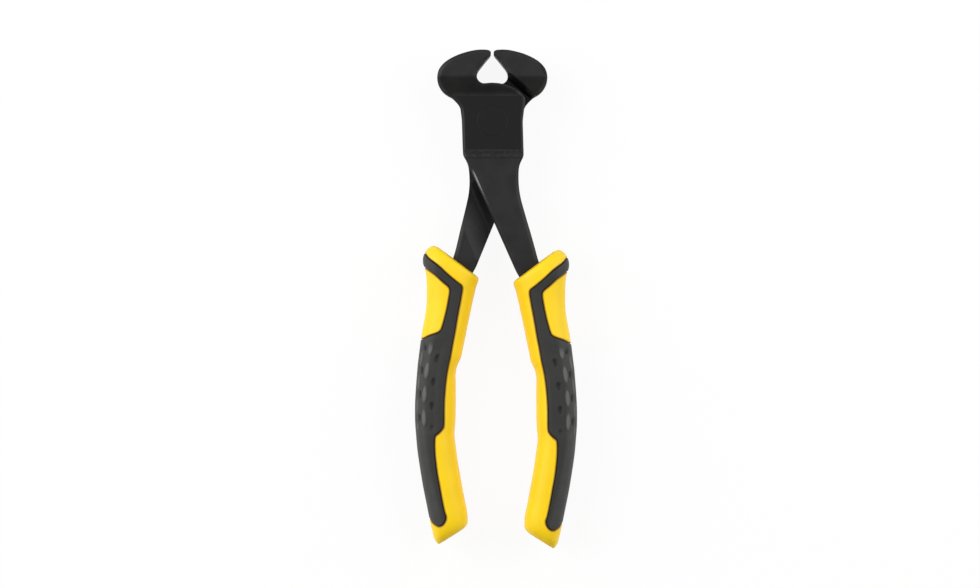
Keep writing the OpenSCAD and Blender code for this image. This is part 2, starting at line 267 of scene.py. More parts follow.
class SleeveSettings(bpy.types.PropertyGroup):
    """Sizes and finish of the two sleeves and their covers"""

    sleeve_length: length("Length", "Length of a sleeve", 96.2 * MM)
    sleeve_width: length("Width", "Width from the guard's inner end to the belly", 20.6 * MM)
    sleeve_thick: length("Thickness", "Thickness of a sleeve, front to back", 19 * MM)
    inner_end: length("Inner end", "Distance of the guard's inner end from the centre line",
                      5.5 * MM)
    guard_drop: length("Guard drop", "Distance of the guard's top below the pivot", 40.4 * MM)
    stagger: length("Stagger", "How far the front sleeve sits lower than the mean", 0.67 * MM)
    squareness: bpy.props.FloatProperty(
        name="Squareness", description="Shape of a section, where 2 is an ellipse", default=2.7)
    cover_thick: length("Cover thickness", "Thickness of the soft cover", 1.6 * MM)
    bond: length("Bond", "Gap between the cover and its core", 0.05 * MM)
    lip_r: length("Lip", "Rounding of the edges on both sides of the groove", 0.36 * MM)
    groove: length("Groove", "Width of the groove's bottom", 0.14 * MM)
    end_r: length("End rounding", "Rounding of the rims at both ends of a sleeve", 0.6 * MM)
    inset: length("Inset", "How far the sleeve lies inside the model's box", 0.07 * MM)
    end_share: share("Butt rounding", "Share of that rounding at the lower end", 0.4)
    seam_h: length("Seam height", "Height of the mould's seam", 0.05 * MM)
    seam_w: length("Seam width", "Half the width of the mould's seam", 0.12 * MM)
    socket_clear: length("Socket clearance", "Gap round the tang in the guard", 0.4 * MM)
    socket_depth: length("Socket depth", "How deep the gap round the tang reaches", 5 * MM)
    # How far the painted shade round the tang reaches on the guard's rim, and how it fades
    contact_far: length("Contact", "Distance from the tang where the rim's grime ends", 3.8 * MM)
    contact_fade: length("Contact fade", "Distance over which that grime fades", 1.1 * MM)
    pad_column: length("Pad column", "Distance between two columns of the relief", 1.88 * MM)
    pad_pitch: length("Pad pitch", "Distance between two pads of a column", 7.6 * MM)
    pad_first: length("First pad", "Distance of the first pad below the pivot", 73.0 * MM)
    pad_height: length("Pad height", "Height of the raised pads", 0.32 * MM)
    pit_depth: length("Pit depth", "Depth of the pits between the pads", 0.5 * MM)
    relief_top: length("Relief top", "Distance of the relief's start below the pivot", 71 * MM)
    relief_end: length("Relief end", "Distance of the relief's end below the pivot", 101.5 * MM)
    relief_fade: length("Relief fade", "Length over which the relief rises at both ends", 3 * MM)
    cell: length("Cell", "Spacing of the mesh on the plain surface", 0.42 * MM)
    fine_cell: length("Fine cell", "Spacing of the mesh on the relief", 0.26 * MM)
    around: bpy.props.IntProperty(
        name="Around", description="Number of faces round a section", default=184)
    yellow: colour("Yellow", "Colour of the hard core", (0.98, 0.655, 0.003))
    cover: colour("Cover", "Colour of the soft cover", (0.030, 0.030, 0.029))
    # Colour of the painted shade in the groove beside the cover, and, darker, beside the tang
    painted_shade: colour("Shading", "Colour of the core's edge beside the cover", (0.24, 0.115, 0.004))


class StageSettings(bpy.types.PropertyGroup):
    """Camera, lamps and floor"""

    distance: length("Distance", "Distance of the camera from the tool's middle plane", 2.0)
    field: length("Field", "Width of what the camera sees in that plane", 314.54 * MM)
    aim_x: length("Aim X", "Point under the camera, sideways", -1.93 * MM)
    aim_y: length("Aim Y", "Point under the camera, along the tool", 1.85 * MM)
    left_power: watts("Left lamp", "Power of the soft lamp on the left", 15.3)
    right_power: watts("Right lamp", "Power of the soft lamp on the right", 11.4)
    sky: share("Surroundings", "Level of the plain light all round", 0.18)
    white: share("White floor", "Share of the floor's white that no shadow dims", 0.92)
    floor_tint: share("Floor", "Grey level of the floor's matt finish", 0.95)
    floor_size: length("Floor size", "Half the width of the floor", 3.0)
    lamp_distance: length("Lamp distance", "Distance of the lamps from the tool", 1.2)
    lamp_width: length("Lamp width", "Width of a lamp", 1.1)
    lamp_depth: length("Lamp depth", "Depth of a lamp", 1.3)


def settings(group):
    """The scene's values of one group."""
    return getattr(bpy.context.scene, "nippers_" + group)


# Curves and mesh helpers

def rail(points, steps):
    """A smooth curve through the points, with a number of steps between two of them."""
    knots = np.array([points[0], *points, points[-1]], float)
    out = []
    for a, b, c, d in zip(knots, knots[1:], knots[2:], knots[3:]):
        for t in np.arange(steps) / steps:
            out.append((2 * b + (c - a) * t + (2 * a - 5 * b + 4 * c - d) * t * t
                        + (3 * b - a - 3 * c + d) * t ** 3) / 2)
    return np.array([*out, knots[-1]])


def smooth(t):
    """A share from 0 to 1 that starts and ends level."""
    return t * t * (3 - 2 * t)


def rise(value, start, run):
    """0 up to start, then rising to 1 over a run."""
    return np.clip((value - start) / run, 0, 1)


def positions(verts):
    """The vertices' places as an array."""
    return np.array([v.co for v in verts])


def outline_distance(places, ring):
    """Distance from each place to a closed outline in the XY plane, and its nearest segment."""
    start = ring[:, :2]
    run = np.roll(start, -1, axis=0) - start
    best = np.full(len(places), np.inf)
    nearest = np.zeros(len(places), int)
    for i, (a, d) in enumerate(zip(start, run)):
        off = places[:, :2] - a
        t = np.clip(off @ d / (d @ d), 0, 1)
        gap = np.hypot(*(off - t[:, None] * d).T)
        closer = gap < best
        best[closer] = gap[closer]
        nearest[closer] = i
    return best, nearest


def inside(places, ring):
    """Which places lie inside a closed outline in the XY plane."""
    x, y = places[:, 0], places[:, 1]
    hit = np.zeros(len(places), bool)
    for (ax, ay), (bx, by) in zip(ring[:, :2], np.roll(ring[:, :2], -1, axis=0)):
        crosses = (ay > y) != (by > y)
        if ay != by:
            hit ^= crosses & (x < ax + (y - ay) * (bx - ax) / (by - ay))
    return hit


def cut_at(bm, layer, level, snap):
    """Adds an edge line to the mesh where the layer's value is level."""
    for v in bm.verts:
        if abs(v[layer] - level) < snap:
            v[layer] = level
    split = {}
    for e in bm.edges:
        a, b = (v[layer] - level for v in e.verts)
        if a * b < 0:
            split[e] = a / (a - b)
    bmesh.ops.bisect_edges(bm, edges=list(split), cuts=1, edge_percents=split)
    on_line = [v for v in bm.verts if abs(v[layer] - level) < WELD]
    bmesh.ops.connect_verts(bm, verts=on_line)


def cut_planes(bm, normal, places):
    """Adds edge lines where planes square to a direction cross the mesh."""
    for place in places:
        bmesh.ops.bisect_plane(
            bm, geom=[*bm.verts, *bm.edges, *bm.faces], dist=WELD,
            plane_co=normal * place, plane_no=normal)


def cut_off(bm, place, normal):
    """Takes away what lies past a plane, and closes the mesh there."""
    bmesh.ops.bisect_plane(
        bm, geom=[*bm.verts, *bm.edges, *bm.faces], clear_outer=True,
        plane_co=place, plane_no=normal)
    bmesh.ops.holes_fill(bm, edges=[e for e in bm.edges if e.is_boundary], sides=0)


def extrude(bm, geom, keep):
    """Extrudes faces, and gives the vertices that this adds."""
    made = bmesh.ops.extrude_face_region(bm, geom=geom, use_keep_orig=keep)["geom"]
    return [g for g in made if isinstance(g, bmesh.types.BMVert)]


def turn_to_side(bm, side):
    """Gives a mesh half a turn for the rear half of the tool, and none for the front half."""
    if side < 0:
        bmesh.ops.rotate(bm, verts=bm.verts, cent=(0, 0, 0), matrix=HALF_TURN)


def shade(bm, sharp_a):
    """Smooth shading that stays sharp at edges over an angle."""
    bmesh.ops.recalc_face_normals(bm, faces=bm.faces)
    for f in bm.faces:
        f.smooth = True
    for e in bm.edges:
        e.smooth = len(e.link_faces) == 2 and e.calc_face_angle(0) < sharp_a


def mesh_object(bm, name):
    """A new object that holds the mesh."""
    mesh = bpy.data.meshes.new(name)
    bm.to_mesh(mesh)
    bm.free()
    obj = bpy.data.objects.new(name, mesh)
    bpy.context.scene.collection.objects.link(obj)
    return obj


def carve(bm, cutters):
    """The mesh less each cutter's mesh."""
    body = mesh_object(bm, "carved")
    tools = [mesh_object(c, "cutter") for c in cutters]
    for tool in tools:
        cut = body.modifiers.new("cut", "BOOLEAN")
        cut.operation = "DIFFERENCE"
        cut.solver = "EXACT"
        cut.object = tool
    bpy.context.view_layer.update()
    evaluated = body.evaluated_get(bpy.context.evaluated_depsgraph_get())
    out = bmesh.new()
    out.from_mesh(evaluated.to_mesh())
    for o in (body, *tools):
        bpy.data.objects.remove(o)
    if not out.faces:
        raise RuntimeError("the cut left nothing")
    return out


def add_piece(bm, name, body, material, node):
    """Links a finished mesh as a piece that rides on a body and stands for a CAD node."""
    obj = mesh_object(bm, name)
    obj.data.materials.append(material)
    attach(obj, body)
    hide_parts(node)
    return obj


# Materials

class Wire:
    """A shader socket that takes part in Python arithmetic."""

    def __init__(self, tree, socket=None):
        self.tree = tree
        self.socket = socket

    def node(self, kind, setup=None, feeds=None, out=0):
        """Adds any node, sets it up, feeds its sockets and gives one of its outputs."""
        made = self.tree.nodes.new("ShaderNode" + kind)
        for name, value in (setup or {}).items():
            setattr(made, name, value)
        for name, value in (feeds or {}).items():
            if isinstance(value, Wire):
                self.tree.links.new(value.socket, made.inputs[name])
            else:
                made.inputs[name].default_value = value
        return Wire(self.tree, made.outputs[out])

    def attribute(self, name):
        """One of the piece's own fields."""
        return self.node("Attribute", {"attribute_name": name}, out="Fac")

    def maths(self, operation, a, b):
        """Adds one step of arithmetic on values."""
        return self.node("Math", {"operation": operation}, {0: a, 1: b})

    def __add__(self, other):
        return self.maths("ADD", self, other)

    def __radd__(self, other):
        return self.maths("ADD", other, self)

    def __sub__(self, other):
        return self.maths("SUBTRACT", self, other)

    def __mul__(self, other):
        return self.maths("MULTIPLY", self, other)

    def mix(self, a, b):
        """Colour a where this value is 0 and b where it is 1."""
        return self.node("Mix", {"data_type": "RGBA"}, {0: self, 6: a, 7: b}, out=2)

    def between(self, low, high):
        """0 where this value is under low, 1 where it is over high."""
        return self.node("MapRange", {"interpolation_type": "SMOOTHSTEP"},
                         {"Value": self, "From Min": low, "From Max": high})


def rgba(tint, scale=1.0):
    """A colour socket's value."""
    return (*(c * scale for c in tint), 1.0)


def new_material(name, **constants):
    """A material with a Principled shader, and the wire that its nodes hang on."""
    material = bpy.data.materials.new(name)
    material.use_nodes = True
    shader = material.node_tree.nodes["Principled BSDF"]
    for socket, value in constants.items():
        shader.inputs[socket.replace("_", " ")].default_value = value
    return material, shader, Wire(material.node_tree)


def feed(wire, shader, **links):
    """Links wires to the shader's sockets."""
    for socket, value in links.items():
        wire.tree.links.new(value.socket, shader.inputs[socket.replace("_", " ")])


def grain(wire, size, detail=3.0, roughness=0.55):
    """Noise with grains of about a size, on the piece's own coordinates."""
    place = wire.node("TexCoord", out="Object")
    return wire.node("TexNoise", feeds={
        "Vector": place, "Scale": 1 / size, "Detail": detail, "Roughness": roughness})


def blackened_steel(steel):
    """Blackened forged steel, darker where it is machined, with painted shade on the lap and the
    ramp, and shiny steel where its edges are worn and where highlights are painted.
    """
    material, shader, wire = new_material("blackened_steel", Specular_IOR_Level=0.27)
    wear = wire.attribute("wear")
    ground = wire.attribute("ground")
    slope = wire.attribute("slope")
    fine = grain(wire, size=0.35 * MM)
    patch = grain(wire, size=7 * MM, detail=2.0)
    scuff = grain(wire, size=0.9 * MM, detail=6.0, roughness=0.7)
    # Shiny steel: real wear on the edges, and painted highlights on the tang's inner chamfer, the
    # step and the plate's top
    brightening = wear * 1.6 + scuff * 0.6
    bare_and_highlight = brightening.between(0.55, 1.55) * wear
    deep, pale, machined_and_shaded_black = (rgba(steel.black, scale) for scale in (0.85, 1.2, 0.35))
    tone = patch.between(0.35, 0.65).mix(deep, pale)
    # Darker where machined, with painted shade on the lap and the ramp
    tone = ground.mix(tone, machined_and_shaded_black)
    bevel = wire.node("Bevel", {"samples": 6}, {"Radius": 0.15 * MM})
    bump = wire.node("Bump", feeds={
        "Strength": 0.5, "Distance": 0.02 * MM, "Height": fine, "Normal": bevel})
    satin = 0.46 + fine * 0.1
    feed(wire, shader, Base_Color=bare_and_highlight.mix(tone, rgba(steel.bare_and_highlight)), Metallic=bare_and_highlight,
         Roughness=satin - ground * 0.06 + slope * 0.24 - wear * 0.1, Normal=bump)
    return material


def hard_plastic(sleeve):
    """Yellow moulded plastic with a fine grain, with painted shade beside the cover and beside the
    tang.
    """
    material, shader, wire = new_material("yellow_core", Specular_IOR_Level=0.36)
    border = wire.attribute("border")
    contact = wire.attribute("contact")
    fine = grain(wire, size=0.16 * MM, detail=2.0)
    patch = grain(wire, size=9 * MM, detail=2.0)
    deep, pale = (rgba(sleeve.yellow, scale) for scale in (0.97, 1.02))
    # Painted shade: brown in the groove beside the cover, and darker beside the tang where it
    # enters the guard
    beside_cover = border.between(-0.75 * MM, -0.15 * MM)
    beside_tang = contact.between(0, 1) * 0.5
    tone = patch.between(0.3, 0.7).mix(deep, pale)
    tone = beside_cover.mix(tone, rgba(sleeve.painted_shade))
    tone = beside_tang.mix(tone, rgba(sleeve.painted_shade, 0.5))
    bump = wire.node("Bump", feeds={"Strength": 0.35, "Distance": 0.015 * MM, "Height": fine})
    feed(wire, shader, Base_Color=tone, Roughness=0.46 + fine * 0.12, Normal=bump)
    return material


def soft_rubber(sleeve):
    """Dark soft moulding, matt, with painted highlights on its pads and a painted sheen on its
    outer side, and painted shade in its pits and beside the groove.
    """
    material, shader, wire = new_material("soft_cover", Specular_IOR_Level=0.35)
    proud = wire.attribute("proud")
    around = wire.attribute("around")
    border = wire.attribute("border")
    fine = grain(wire, size=0.14 * MM)
    patch = grain(wire, size=5 * MM).between(0.3, 0.7)
    # Painted highlight on the pads, painted shade in the pits and in the groove beside the rim
    pad, pit, rim = (rgba(sleeve.cover, scale) for scale in (3.8, 0.45, 0.3))
    # Painted sheen on the outer side, painted shade on the palm side
    brightening = patch.mix(rgba(sleeve.cover, 1.4), rgba(sleeve.cover, 1.7))
    shaded_side = patch.mix(rgba(sleeve.cover, 0.85), rgba(sleeve.cover, 0.95))
    past_palm = around.between(8.6 * MM, 10.6 * MM)
    on_pad = (proud * (0.75 + fine * 0.4)).between(0, 1)
    in_pit = (proud * -1.0).between(0, 1)
    past_rim = border.between(0.1 * MM, 0.55 * MM)
    tone = past_palm.mix(brightening, shaded_side)
    tone = in_pit.mix(on_pad.mix(tone, pad), pit)
    tone = past_rim.mix(rim, tone)
    bump = wire.node("Bump", feeds={"Strength": 0.6, "Distance": 0.025 * MM, "Height": fine})
    feed(wire, shader, Base_Color=tone, Roughness=0.6 + fine * 0.16, Normal=bump)
    return material


def finish_material(name, make, group):
    """The material of that name, made on its first use."""
    return bpy.data.materials.get(name) or make(settings(group))


# Levers

def to_lever(bm, side):
    """Moves a mesh from the tool's frame to the lever's: pivot at 0, full face up."""
    bmesh.ops.translate(bm, verts=bm.verts, vec=-PIVOT)
    turn_to_side(bm, side)


def from_lever(bm, side):
    """Moves a mesh from the lever's frame back to the tool's."""
    turn_to_side(bm, side)
    bmesh.ops.translate(bm, verts=bm.verts, vec=PIVOT)


def lever_face(node, side, head_r):
    """The full face of a lever, flattened to one polygon."""
    bm = bmesh.new()
    bm.from_mesh(frame["nodes"][node].data)
    bmesh.ops.remove_doubles(bm, verts=bm.verts, dist=WELD)
    to_lever(bm, side)
    bm.normal_update()
    least_up = 0.3
    hidden = [f for f in bm.faces if f.normal.z < least_up]
    bmesh.ops.delete(bm, geom=hidden, context="FACES")
    bmesh.ops.scale(bm, verts=bm.verts, vec=(1, 1, 0))
    bore = [e for e in bm.edges if e.is_boundary and e.verts[0].co.length < head_r]
    bmesh.ops.holes_fill(bm, edges=bore, sides=0)
    bmesh.ops.dissolve_faces(bm, faces=bm.faces, use_verts=False)
    return bm


def round_outline(bm, spacing, corner_a, passes=12):
    """Rounds the shallow corners of a flat polygon, and keeps its sharp ones."""
    corners = set()
    for v in bm.verts:
        a, b = (e.other_vert(v).co - v.co for e in v.link_edges)
        if math.pi - a.angle(b) > corner_a:
            corners.add(v)
    for e in list(bm.edges):
        cuts = math.ceil(e.calc_length() / spacing) - 1
        if cuts > 0:
            bmesh.ops.bisect_edges(bm, edges=[e], cuts=cuts)
    soft = [v for v in bm.verts if v not in corners]
    for _ in range(passes):
        bmesh.ops.smooth_vert(bm, verts=soft, factor=0.5, use_axis_x=True, use_axis_y=True)


def boundary_ring(bm):
    """The places round the mesh's one open edge, in order."""
    start = next(e for e in bm.edges if e.is_boundary)
    ring = [start.verts[0]]
    edge = start
    while True:
        ring.append(edge.other_vert(ring[-1]))
        edge = next(e for e in ring[-1].link_edges if e.is_boundary and e is not edge)
        if edge is start:
            return positions(ring[:-1])


def chamfer_sizes(ring):
    """Width and drop of the chamfer on each segment of the ring."""
    travel = np.hypot(*np.diff(ring[:, :2], axis=0, append=ring[:1, :2]).T)
    along = np.cumsum(travel) - travel
    knots = np.array(CHAMFER_KNOTS) * MM
    spots = [along[np.hypot(*(ring[:, :2] - k[:2]).T).argmin()] for k in knots]
    return [np.interp(along, *zip(*sorted(zip(spots, knots[:, i]))), period=travel.sum())
            for i in (2, 3)]


def lever_kinks(steel):
    """Heights above the pivot where a lever's thickness starts or stops changing."""
    step_top = -steel.plate_foot
    return (steel.slope_top - steel.slope_run, steel.slope_top, step_top,
            step_top - steel.step_run)


def half_thickness(steel, y, samples=9):
    """Half the thickness of a lever at heights y above the pivot, with blended kinks."""
    slope_foot, slope_top, step_top, step_foot = lever_kinks(steel)
    ys = (step_foot, step_top, slope_foot, slope_top)
    zs = (steel.tang_thick, steel.plate_thick, steel.plate_thick, steel.jaw_width)
    offsets = np.linspace(-1, 1, samples) * steel.blend_r
    return np.mean([np.interp(y + o, ys, zs) for o in offsets], axis=0) / 2


def chamfer_profile(q, soft=0.25, toe_run=0.16, toe_drop=0.22, toe_bend=0.98):
    """Drop of an edge chamfer from 1 at its foot to 0 past its top, with rounded ends."""
    blend = np.clip(1 + soft - q, 0, 2 * soft) ** 2 / (4 * soft)
    flat = np.where(q < 1 - soft, 1 - q, blend)
    toe = np.clip(1 - q / toe_run, 0, 1)
    return flat + toe_drop * (1 - np.sqrt(1 - toe_bend * toe ** 2))


def lever_blank(node, side, steel):
    """A whole forging with its chamfers, before the lap joint is cut."""
    bm = lever_face(node, side, steel.head_d / 2 + MM)
    round_outline(bm, steel.outline_cell, steel.corner_a)
    ring = boundary_ring(bm)
    widths, drops = chamfer_sizes(ring)
    low, high = ring.min(axis=0), ring.max(axis=0)
    for axis, start, end in zip((X, Y), low, high):
        cut_planes(bm, axis, np.arange(start + steel.cell / 3, end, steel.cell))
    blend_lines = np.linspace(-1, 1, 5) * steel.blend_r
    for kink in lever_kinks(steel):
        cut_planes(bm, Y, kink + blend_lines)
    rim = bm.verts.layers.float.new("rim")
    gap, nearest = outline_distance(positions(bm.verts), ring)
    for v, ratio in zip(bm.verts, gap / widths[nearest]):
        v[rim] = ratio
    for level in CHAMFER_LINES:
        cut_at(bm, rim, level, snap=0.02)
    places = positions(bm.verts)
    gap, nearest = outline_distance(places, ring)
    q = gap / widths[nearest]
    lift = half_thickness(steel, places[:, 1]) - drops[nearest] * chamfer_profile(q)
    for v, z in zip(bm.verts, lift):
        v.co.z = z
    bmesh.ops.scale(bm, verts=extrude(bm, bm.faces, keep=True), vec=(1, 1, -1))
    bmesh.ops.recalc_face_normals(bm, faces=bm.faces)
    return bm, ring, widths


def shoulder_way(steel):
    """Direction outwards across the shoulder, and along it, in the XY plane."""
    out = Vector((-math.cos(steel.shoulder_a), math.sin(steel.shoulder_a), 0))
    return out, Vector((out.y, -out.x, 0))


def shoulder_lean(steel):
    """How far the shoulder's plane leans outwards per height."""
    return steel.shoulder_run / steel.jaw_width * 2


def lap_planes(steel):
    """The shoulder's plane and the ramp's: direction, distance from the pivot, leaning normal."""
    shoulder = shoulder_way(steel)[0]
    ramp = Vector((math.cos(steel.splay_a), -math.sin(steel.splay_a), 0))
    ramp_lean = steel.ramp_run / steel.tang_thick * 2
    return (
        (shoulder, steel.shoulder_start, (shoulder + Z * shoulder_lean(steel)).normalized()),
        (ramp, steel.ramp_start, (ramp + Z * ramp_lean).normalized()),
    )


def lap_room(steel):
    """Room for the other lever: a block cut by the shoulder's plane and by the ramp's plane."""
    reach = 100 * MM
    depth = 12 * MM
    strips = np.arange(-12, 16, 0.5) * MM
    top = steel.lap_gap / 2
    bm = bmesh.new()
    bmesh.ops.create_cube(bm, size=2)
    bmesh.ops.scale(bm, verts=bm.verts, vec=(reach, reach, depth / 2))
    bmesh.ops.translate(bm, verts=bm.verts, vec=(0, 0, top - depth / 2))
    for way, start, normal in lap_planes(steel):
        cut_off(bm, way * start + Z * top, normal)
    out, along = shoulder_way(steel)
    cut_planes(bm, along, strips)
    level_shoulder(bm, steel, out, along, top, depth)
    bmesh.ops.triangulate(bm, faces=bm.faces)
    bmesh.ops.recalc_face_normals(bm, faces=bm.faces)
    return bm


def level_shoulder(bm, steel, out, along, top, depth):
    """Leans the shoulder at each place so that it ends on one straight line of the lever's face."""
    foot = steel.shoulder_start + shoulder_lean(steel) * depth
    edge = steel.shoulder_start + steel.shoulder_run
    near = 10 * WELD
    for v in bm.verts:
        if v.co.z < top - depth / 2 and abs(v.co.dot(out) - foot) < near:
            spot = out * edge + along * v.co.dot(along)
            face = float(half_thickness(steel, np.array([spot.y]))[0])
            lean = steel.shoulder_run / (face + top)
            v.co += out * (steel.shoulder_start + lean * depth - foot)


def rivet_shape(steel, grow, over):
    """A rivet with two flush heads, grown by a clearance and by its heads' height over."""
    half = steel.plate_thick / 2
    shank, head = steel.rivet_d / 2 + grow, steel.head_d / 2 + grow
    upper = [(0, half + over), (head, half + over), (head, half), (shank, half - steel.head_h)]
    bm = bmesh.new()
    line = [bm.verts.new((r, 0, z)) for r, z in upper + [(r, -z) for r, z in reversed(upper)]]
    edges = [bm.edges.new(pair) for pair in zip(line, line[1:])]
    bmesh.ops.spin(bm, geom=[*line, *edges], cent=(0, 0, 0), axis=(0, 0, 1), angle=TAU,
                   steps=96, use_merge=True)
    bmesh.ops.remove_doubles(bm, verts=bm.verts, dist=WELD)
    bmesh.ops.dissolve_limit(bm, angle_limit=math.radians(0.5), verts=bm.verts, edges=bm.edges)
    bmesh.ops.recalc_face_normals(bm, faces=bm.faces)
    return bm


def wear_and_highlight_shares(places, ratio):
    """How worn places are and how much painted highlight they get, from their distance to the
    outline as a ratio of the chamfer's width.
    """
    x, y, z = (places / MM).T
    full_face = z > FULL_FACE
    least_r, left, foot, top = PLATE_TOP
    plate_top = (np.hypot(x, y) > least_r) & (y > foot) & (x > left) & (y < top)
    # Real wear along all edges, with more on the plate's top as a painted highlight
    end, all_round, more = EDGE_WEAR_AND_HIGHLIGHT
    edge = np.clip(end - ratio, 0, 1) * (all_round + more * plate_top)
    # Painted highlight across the step below the plate
    step = np.interp(y, *zip(*STEP_HIGHLIGHT))
    # Painted highlight along the tang's inner chamfer
    middle, height, run = TANG_MIDDLE
    inner = (y < TANG_TOP) & (x < middle - run * (y - height))
    crest_at, level, fall = CREST_BAND
    crest = np.clip(level - np.abs(ratio - crest_at) * fall, 0, 1) * inner
    crest = crest * np.interp(y, *zip(*CREST_HIGHLIGHT))
    return np.maximum.reduce([edge, step, crest]) * full_face


def store_field(obj, name, domain, values):
    """Stores a number on each point, face or corner of a piece, for its material to read."""
    layer = obj.data.attributes.new(name, "FLOAT", domain)
    layer.data.foreach_set("value", np.array(values, np.float32))


def mark_wear_and_painted_light(obj, side, ring, widths, steel):
    """Stores where the black is worn off the edges and where highlights are painted in shiny steel,
    which faces are machined flat after forging, and the painted shade on the lap and the ramp.
    """
    bm = bmesh.new()
    bm.from_mesh(obj.data)
    to_lever(bm, side)
    bm.normal_update()
    places = positions(bm.verts)
    gap, nearest = outline_distance(places, ring)
    planes = lap_planes(steel)
    ground, slope = zip(*(pair for f in bm.faces for pair in machined(f, steel, planes)))
    bm.free()
    store_field(obj, "wear", "POINT", wear_and_highlight_shares(places, gap / widths[nearest]))
    store_field(obj, "ground", "CORNER", ground)
    store_field(obj, "slope", "CORNER", slope)


def machined(face, steel, planes):
    """For each corner of a face, its share of machined finish and painted shade, and of the ramp's
    matt finish.
    """
    z = face.calc_center_median().z
    places = np.array([v.co for v in face.verts])
    ground = np.zeros(len(places))
    slope = np.zeros(len(places))
    if abs(face.normal.z) > FLAT_COSINE:
        if abs(z - steel.plate_thick / 2) < FLAT_GAP:
            ground[:] = 1
        if abs(z - steel.lap_gap / 2) < FLAT_GAP:
            # Ground flat of the lap, with painted shade that darkens towards its lower end
            ground = np.interp(places[:, 1] / MM, *zip(*LAP_GROUND_AND_SHADE))
    elif z < steel.lap_gap / 2:
        (*_, shoulder_normal), (ramp, foot, ramp_normal) = planes
        if face.normal.dot(shoulder_normal) < -PLANE_COSINE:
            ground[:] = 1
        if face.normal.dot(ramp_normal) < -PLANE_COSINE:
            # Matt ramp, with painted shade darkest where the ramp starts
            down = (places @ ramp - foot) / steel.ramp_run
            slope = smooth(np.interp(down, *zip(*RAMP_MATT_AND_SHADE)))
            ground = slope
    return zip(ground, slope)


def make_lever(name):
    """Builds one lever and its finish."""
    steel = settings("steel")
    side = SIDES[name]
    bm, ring, widths = lever_blank(name + "_lever", side, steel)
    bm = carve(bm, [lap_room(steel), rivet_shape(steel, grow=steel.rivet_clear, over=MM)])
    from_lever(bm, side)
    shade(bm, STEEL_SHARP)
    material = finish_material("blackened_steel", blackened_steel, "steel")
    obj = add_piece(bm, name + "_forging", name + "_half", material,
                    name + "_lever")
    mark_wear_and_painted_light(obj, side, ring, widths, steel)


# Sleeves

def sleeve_point(sleeve, shares):
    """Places outwards from the centre line and down from the pivot, for rows of two shares."""
    scale = np.array([sleeve.sleeve_width, sleeve.sleeve_length])
    return np.array([sleeve.inner_end, sleeve.guard_drop]) + np.array(shares) * scale


def sleeve_stops(sleeve, travel, down):
    """Travel along a sleeve of each section, closer on the relief and on both rounded rims."""
    stops = [0.0]
    while stops[-1] < travel[-1]:
        place = np.interp(stops[-1], travel, down)
        on_relief = sleeve.relief_top - MM < place < sleeve.relief_end + MM
        stops.append(stops[-1] + (sleeve.fine_cell if on_relief else sleeve.cell))
    stops[-1] = travel[-1]
    rims = sleeve.end_r * np.array(RIM_LINES)
    return np.unique([*stops, *rims, *(travel[-1] - rims)])


def round_rims(sleeve, rows, stops):
    """Draws the sections in towards both ends, so that the rims there are round."""
    end = stops[-1]
    t = np.clip(np.minimum(stops, end - stops) / sleeve.end_r, 0, 1)
    shrink = sleeve.end_r * (1 - np.sqrt(1 - (1 - t) ** 2))
    shrink[stops > end / 2] *= sleeve.end_share
    inward = rows[:, 2:4] - rows[:, 0:2]
    inward *= (shrink / np.hypot(*inward.T))[:, None]
    rows[:, 0:2] += inward
    rows[:, 2:4] -= inward
    rows[:, 4] -= shrink


def sleeve_rows(sleeve):
    """Sections of a sleeve: outer point, inner point, half thickness, size and travel."""
    fine = rail(SECTION_SHARES, steps=24)
    outer = sleeve_point(sleeve, fine[:, 0:2])
    inner = sleeve_point(sleeve, fine[:, 2:4])
    middle = (outer + inner) / 2
    travel = np.concatenate([[0], np.cumsum(np.hypot(*np.diff(middle, axis=0).T))])
    stops = sleeve_stops(sleeve, travel, middle[:, 1])
    inward = (middle - outer) / np.hypot(*(middle - outer).T)[:, None] * sleeve.inset
    half = fine[:, 4] * sleeve.sleeve_thick / 2 - sleeve.inset
    table = np.column_stack([outer + inward, inner - inward, half])
    rows = [np.interp(stops, travel, column) for column in table.T]
    rows = np.column_stack([*rows, np.ones(len(stops)), stops])
    round_rims(sleeve, rows, stops)
    caps = [np.repeat(row[None], len(CLOSING), axis=0) for row in (rows[0], rows[-1])]
    caps[0][:, 5] = CLOSING
    caps[1][:, 5] = CLOSING[::-1]
    return np.vstack([caps[0], rows, caps[1]])


def section_ring(row, count, squareness, samples=361):
    """Places at even steps round one section, from its outermost point, and their travel."""
    outer, inner, half, size = row[0:2], row[2:4], row[4], row[5]
    t = np.linspace(0, TAU, samples)
    across = np.sign(np.cos(t)) * np.abs(np.cos(t)) ** (2 / squareness)
    up = np.sign(np.sin(t)) * np.abs(np.sin(t)) ** (2 / squareness)
    width = np.hypot(*(outer - inner)) / 2
    steps = np.hypot(np.diff(across) * width, np.diff(up) * half)
    travel = np.concatenate([[0], np.cumsum(steps)])
    even = np.linspace(0, travel[-1], count, endpoint=False)
    across, up = (np.interp(even, travel, c) * size for c in (across, up))
    flat = (outer + inner) / 2 + across[:, None] * (outer - inner) / 2
    around = np.minimum(even, travel[-1] - even) * size
    return np.column_stack([flat[:, 0], -flat[:, 1], up * half]), around


def surface_distance(bm, gap, toward, least=0.3):
    """Distance along the surface from the cover's edge, from that in the XY plane."""
    slope = [v.normal.dot(d) for v, d in zip(bm.verts, toward)]
    return gap / np.maximum(np.sqrt(1 - np.array(slope) ** 2), least)


